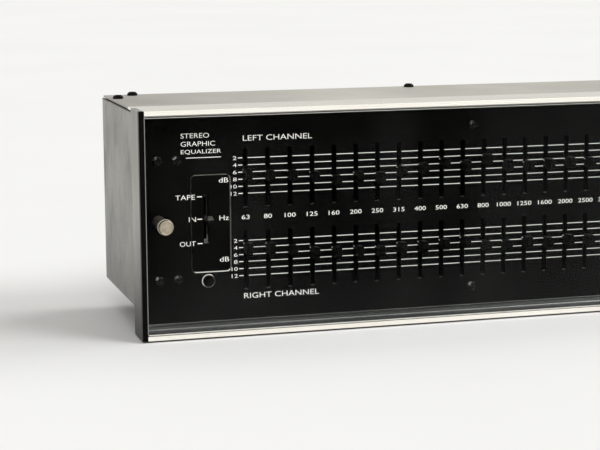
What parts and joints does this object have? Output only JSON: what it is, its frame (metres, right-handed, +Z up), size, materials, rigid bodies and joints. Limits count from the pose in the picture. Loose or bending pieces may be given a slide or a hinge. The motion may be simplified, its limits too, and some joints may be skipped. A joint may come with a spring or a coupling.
{
  "type": "graphic equalizer",
  "caption": "Two-channel graphic equalizer with a recessed black panel of vertical faders, a function lever, a clear screwed-on cover and a sheet-metal case.",
  "frame": {"origin": "on the standing surface, under the middle of the width and of the whole depth", "axes": "+X to the right of the person facing the controls, +Y to the rear, +Z up"},
  "size_m": [0.4064, 0.128, 0.1364],
  "materials": {
    "knob": "semi-gloss moulded black",
    "lever": "semi-gloss moulded black",
    "clear_acrylic": "polished clear sheet",
    "thumb_screw": "satin turned",
    "panel": "satin black with white legends",
    "rail": "satin anodised extrusion",
    "end_plate": "satin grey sides, black front edge",
    "case_steel": "satin grey sheet",
    "lid": "satin light grey sheet",
    "electronics": "boards and components, not seen",
    "black_hardware": "black oxide screws and posts",
    "plated_fittings": "bright plated"
  },
  "bodies": {
    "case": {"front_panel": "panel", "trim_rails": "rail", "end_plates": "end_plate", "chassis_tray": "case_steel", "top_cover": "lid", "circuit_boards": "electronics", "screws_posts_and_feet": "black_hardware", "lamp_and_sockets": "plated_fittings"},
    "fader_left_63": {"fader_left_63": "knob"},
    "fader_left_80": {"fader_left_80": "knob"},
    "fader_left_100": {"fader_left_100": "knob"},
    "fader_left_125": {"fader_left_125": "knob"},
    "fader_left_160": {"fader_left_160": "knob"},
    "fader_left_200": {"fader_left_200": "knob"},
    "fader_left_250": {"fader_left_250": "knob"},
    "fader_left_315": {"fader_left_315": "knob"},
    "fader_left_400": {"fader_left_400": "knob"},
    "fader_left_500": {"fader_left_500": "knob"},
    "fader_left_630": {"fader_left_630": "knob"},
    "fader_left_800": {"fader_left_800": "knob"},
    "fader_left_1000": {"fader_left_1000": "knob"},
    "fader_left_1250": {"fader_left_1250": "knob"},
    "fader_left_1600": {"fader_left_1600": "knob"},
    "fader_left_2000": {"fader_left_2000": "knob"},
    "fader_left_2500": {"fader_left_2500": "knob"},
    "fader_left_3150": {"fader_left_3150": "knob"},
    "fader_left_4000": {"fader_left_4000": "knob"},
    "fader_left_5000": {"fader_left_5000": "knob"},
    "fader_left_6300": {"fader_left_6300": "knob"},
    "fader_left_8000": {"fader_left_8000": "knob"},
    "fader_left_10000": {"fader_left_10000": "knob"},
    "fader_left_12500": {"fader_left_12500": "knob"},
    "fader_right_63": {"fader_right_63": "knob"},
    "fader_right_80": {"fader_right_80": "knob"},
    "fader_right_100": {"fader_right_100": "knob"},
    "fader_right_125": {"fader_right_125": "knob"},
    "fader_right_160": {"fader_right_160": "knob"},
    "fader_right_200": {"fader_right_200": "knob"},
    "fader_right_250": {"fader_right_250": "knob"},
    "fader_right_315": {"fader_right_315": "knob"},
    "fader_right_400": {"fader_right_400": "knob"},
    "fader_right_500": {"fader_right_500": "knob"},
    "fader_right_630": {"fader_right_630": "knob"},
    "fader_right_800": {"fader_right_800": "knob"},
    "fader_right_1000": {"fader_right_1000": "knob"},
    "fader_right_1250": {"fader_right_1250": "knob"},
    "fader_right_1600": {"fader_right_1600": "knob"},
    "fader_right_2000": {"fader_right_2000": "knob"},
    "fader_right_2500": {"fader_right_2500": "knob"},
    "fader_right_3150": {"fader_right_3150": "knob"},
    "fader_right_4000": {"fader_right_4000": "knob"},
    "fader_right_5000": {"fader_right_5000": "knob"},
    "fader_right_6300": {"fader_right_6300": "knob"},
    "fader_right_8000": {"fader_right_8000": "knob"},
    "fader_right_10000": {"fader_right_10000": "knob"},
    "fader_right_12500": {"fader_right_12500": "knob"},
    "function_lever": {"function_lever": "lever"},
    "clear_cover": {"clear_cover": "clear_acrylic"},
    "thumb_screw_left": {"thumb_screw_left": "thumb_screw"},
    "thumb_screw_right": {"thumb_screw_right": "thumb_screw"}
  },
  "joints": [
    {"name": "lever_pivot", "type": "hinge", "parent": "case", "child": "function_lever", "pos_m": [-0.1606, -0.0092, 0.0683], "axis": [-1, 0, 0], "range_deg": [-20, 20]},
    {"name": "cover_slide", "type": "slide", "parent": "case", "child": "clear_cover", "axis": [0, -1, 0], "range_m": [0, 0.06]},
    {"name": "thumb_screw_left_turn", "type": "hinge", "parent": "clear_cover", "child": "thumb_screw_left", "pos_m": [-0.1892, -0.0592, 0.06767], "axis": [0, -1, 0], "continuous": true},
    {"name": "thumb_screw_right_turn", "type": "hinge", "parent": "clear_cover", "child": "thumb_screw_right", "pos_m": [0.1892, -0.0592, 0.06767], "axis": [0, -1, 0], "continuous": true},
    {"name": "slide_left_63", "type": "slide", "parent": "case", "child": "fader_left_63", "axis": [0, 0, 1], "range_m": [-0.01692, 0.01308]},
    {"name": "slide_left_80", "type": "slide", "parent": "case", "child": "fader_left_80", "axis": [0, 0, 1], "range_m": [-0.01544, 0.01456]},
    {"name": "slide_left_100", "type": "slide", "parent": "case", "child": "fader_left_100", "axis": [0, 0, 1], "range_m": [-0.01523, 0.01477]},
    {"name": "slide_left_125", "type": "slide", "parent": "case", "child": "fader_left_125", "axis": [0, 0, 1], "range_m": [-0.01375, 0.01625]},
    {"name": "slide_left_160", "type": "slide", "parent": "case", "child": "fader_left_160", "axis": [0, 0, 1], "range_m": [-0.01101, 0.01899]},
    {"name": "slide_left_200", "type": "slide", "parent": "case", "child": "fader_left_200", "axis": [0, 0, 1], "range_m": [-0.0127, 0.0173]},
    {"name": "slide_left_250", "type": "slide", "parent": "case", "child": "fader_left_250", "axis": [0, 0, 1], "range_m": [-0.01164, 0.01836]},
    {"name": "slide_left_315", "type": "slide", "parent": "case", "child": "fader_left_315", "axis": [0, 0, 1], "range_m": [-0.0146, 0.0154]},
    {"name": "slide_left_400", "type": "slide", "parent": "case", "child": "fader_left_400", "axis": [0, 0, 1], "range_m": [-0.01607, 0.01393]},
    {"name": "slide_left_500", "type": "slide", "parent": "case", "child": "fader_left_500", "axis": [0, 0, 1], "range_m": [-0.01861, 0.01139]},
    {"name": "slide_left_630", "type": "slide", "parent": "case", "child": "fader_left_630", "axis": [0, 0, 1], "range_m": [-0.0165, 0.0135]},
    {"name": "slide_left_800", "type": "slide", "parent": "case", "child": "fader_left_800", "axis": [0, 0, 1], "range_m": [-0.01987, 0.01013]},
    {"name": "slide_left_1000", "type": "slide", "parent": "case", "child": "fader_left_1000", "axis": [0, 0, 1], "range_m": [-0.01565, 0.01435]},
    {"name": "slide_left_1250", "type": "slide", "parent": "case", "child": "fader_left_1250", "axis": [0, 0, 1], "range_m": [-0.0146, 0.0154]},
    {"name": "slide_left_1600", "type": "slide", "parent": "case", "child": "fader_left_1600", "axis": [0, 0, 1], "range_m": [-0.01523, 0.01477]},
    {"name": "slide_left_2000", "type": "slide", "parent": "case", "child": "fader_left_2000", "axis": [0, 0, 1], "range_m": [-0.01565, 0.01435]},
    {"name": "slide_left_2500", "type": "slide", "parent": "case", "child": "fader_left_2500", "axis": [0, 0, 1], "range_m": [-0.01502, 0.01498]},
    {"name": "slide_left_3150", "type": "slide", "parent": "case", "child": "fader_left_3150", "axis": [0, 0, 1], "range_m": [-0.01692, 0.01308]},
    {"name": "slide_left_4000", "type": "slide", "parent": "case", "child": "fader_left_4000", "axis": [0, 0, 1], "range_m": [-0.01776, 0.01224]},
    {"name": "slide_left_5000", "type": "slide", "parent": "case", "child": "fader_left_5000", "axis": [0, 0, 1], "range_m": [-0.0184, 0.01161]},
    {"name": "slide_left_6300", "type": "slide", "parent": "case", "child": "fader_left_6300", "axis": [0, 0, 1], "range_m": [-0.01734, 0.01266]},
    {"name": "slide_left_8000", "type": "slide", "parent": "case", "child": "fader_left_8000", "axis": [0, 0, 1], "range_m": [-0.0165, 0.0135]},
    {"name": "slide_left_10000", "type": "slide", "parent": "case", "child": "fader_left_10000", "axis": [0, 0, 1], "range_m": [-0.01523, 0.01477]},
    {"name": "slide_left_12500", "type": "slide", "parent": "case", "child": "fader_left_12500", "axis": [0, 0, 1], "range_m": [-0.01418, 0.01582]},
    {"name": "slide_right_63", "type": "slide", "parent": "case", "child": "fader_right_63", "axis": [0, 0, 1], "range_m": [-0.02198, 0.00802]},
    {"name": "slide_right_80", "type": "slide", "parent": "case", "child": "fader_right_80", "axis": [0, 0, 1], "range_m": [-0.02156, 0.00844]},
    {"name": "slide_right_100", "type": "slide", "parent": "case", "child": "fader_right_100", "axis": [0, 0, 1], "range_m": [-0.01966, 0.01034]},
    {"name": "slide_right_125", "type": "slide", "parent": "case", "child": "fader_right_125", "axis": [0, 0, 1], "range_m": [-0.01755, 0.01245]},
    {"name": "slide_right_160", "type": "slide", "parent": "case", "child": "fader_right_160", "axis": [0, 0, 1], "range_m": [-0.01692, 0.01308]},
    {"name": "slide_right_200", "type": "slide", "parent": "case", "child": "fader_right_200", "axis": [0, 0, 1], "range_m": [-0.01692, 0.01308]},
    {"name": "slide_right_250", "type": "slide", "parent": "case", "child": "fader_right_250", "axis": [0, 0, 1], "range_m": [-0.01607, 0.01393]},
    {"name": "slide_right_315", "type": "slide", "parent": "case", "child": "fader_right_315", "axis": [0, 0, 1], "range_m": [-0.01755, 0.01245]},
    {"name": "slide_right_400", "type": "slide", "parent": "case", "child": "fader_right_400", "axis": [0, 0, 1], "range_m": [-0.01755, 0.01245]},
    {"name": "slide_right_500", "type": "slide", "parent": "case", "child": "fader_right_500", "axis": [0, 0, 1], "range_m": [-0.01797, 0.01203]},
    {"name": "slide_right_630", "type": "slide", "parent": "case", "child": "fader_right_630", "axis": [0, 0, 1], "range_m": [-0.01882, 0.01118]},
    {"name": "slide_right_800", "type": "slide", "parent": "case", "child": "fader_right_800", "axis": [0, 0, 1], "range_m": [-0.01565, 0.01435]},
    {"name": "slide_right_1000", "type": "slide", "parent": "case", "child": "fader_right_1000", "axis": [0, 0, 1], "range_m": [-0.01523, 0.01477]},
    {"name": "slide_right_1250", "type": "slide", "parent": "case", "child": "fader_right_1250", "axis": [0, 0, 1], "range_m": [-0.01671, 0.01329]},
    {"name": "slide_right_1600", "type": "slide", "parent": "case", "child": "fader_right_1600", "axis": [0, 0, 1], "range_m": [-0.01565, 0.01435]},
    {"name": "slide_right_2000", "type": "slide", "parent": "case", "child": "fader_right_2000", "axis": [0, 0, 1], "range_m": [-0.01671, 0.01329]},
    {"name": "slide_right_2500", "type": "slide", "parent": "case", "child": "fader_right_2500", "axis": [0, 0, 1], "range_m": [-0.01586, 0.01414]},
    {"name": "slide_right_3150", "type": "slide", "parent": "case", "child": "fader_right_3150", "axis": [0, 0, 1], "range_m": [-0.01734, 0.01266]},
    {"name": "slide_right_4000", "type": "slide", "parent": "case", "child": "fader_right_4000", "axis": [0, 0, 1], "range_m": [-0.01818, 0.01182]},
    {"name": "slide_right_5000", "type": "slide", "parent": "case", "child": "fader_right_5000", "axis": [0, 0, 1], "range_m": [-0.0165, 0.0135]},
    {"name": "slide_right_6300", "type": "slide", "parent": "case", "child": "fader_right_6300", "axis": [0, 0, 1], "range_m": [-0.01565, 0.01435]},
    {"name": "slide_right_8000", "type": "slide", "parent": "case", "child": "fader_right_8000", "axis": [0, 0, 1], "range_m": [-0.01692, 0.01308]},
    {"name": "slide_right_10000", "type": "slide", "parent": "case", "child": "fader_right_10000", "axis": [0, 0, 1], "range_m": [-0.01755, 0.01245]},
    {"name": "slide_right_12500", "type": "slide", "parent": "case", "child": "fader_right_12500", "axis": [0, 0, 1], "range_m": [-0.01629, 0.01371]}
  ]
}
